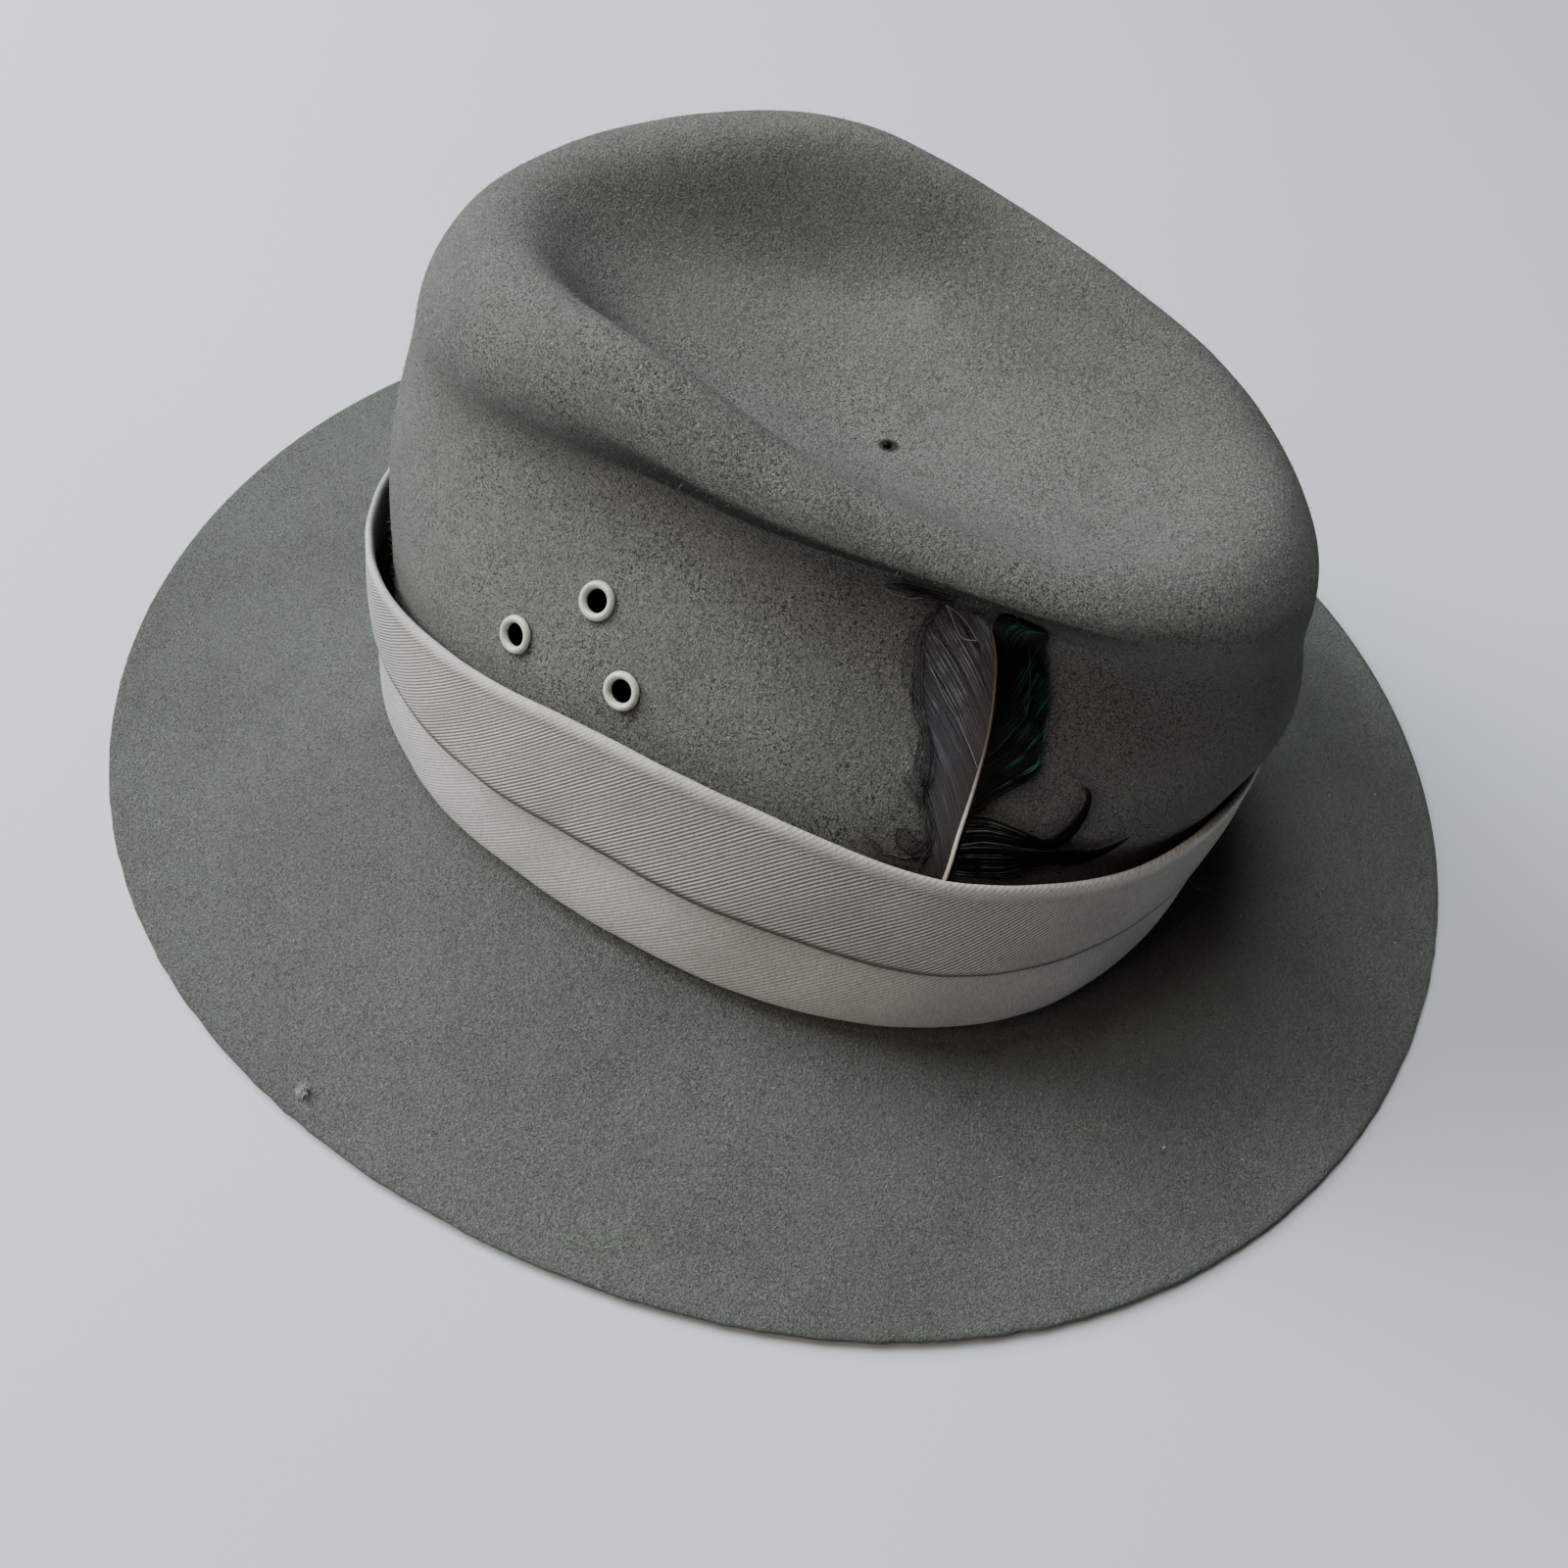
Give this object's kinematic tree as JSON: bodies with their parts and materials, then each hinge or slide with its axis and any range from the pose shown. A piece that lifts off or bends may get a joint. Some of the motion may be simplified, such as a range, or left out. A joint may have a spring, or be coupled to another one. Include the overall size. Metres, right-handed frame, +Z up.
{
  "type": "safari hat",
  "caption": "Wide-brimmed fur felt safari hat with a teardrop crown, folded twill band, side vent eyelets and a tucked feather.",
  "frame": {"origin": "middle of the brim's outline, on the surface that the brim rests on", "axes": "+Z up through the crown, -Y the front of the hat, +X the wearer's left side, which carries the eyelets and the feather"},
  "size_m": [0.3018, 0.3381, 0.1378],
  "materials": {
    "felt": "matt brushed fur felt with a fine raised nap",
    "twill": "fine diagonal cotton twill, matt",
    "eyelet_metal": "pale lacquered rolled metal, satin",
    "quill": "ivory horn, slightly glossy",
    "grey_barbs": "grey-brown feather barbs with a soft sheen",
    "green_barbs": "near-black feather barbs with a green sheen"
  },
  "bodies": {
    "root": {"felt_body": "felt", "hat_band": "twill", "eyelet_front": "eyelet_metal", "eyelet_top": "eyelet_metal", "eyelet_back": "eyelet_metal", "feather_shaft": "quill", "feather_grey_vane": "grey_barbs", "feather_green_vane": "green_barbs", "feather_upper_tuft": "green_barbs", "feather_lower_tuft": "green_barbs"}
  },
  "joints": []
}
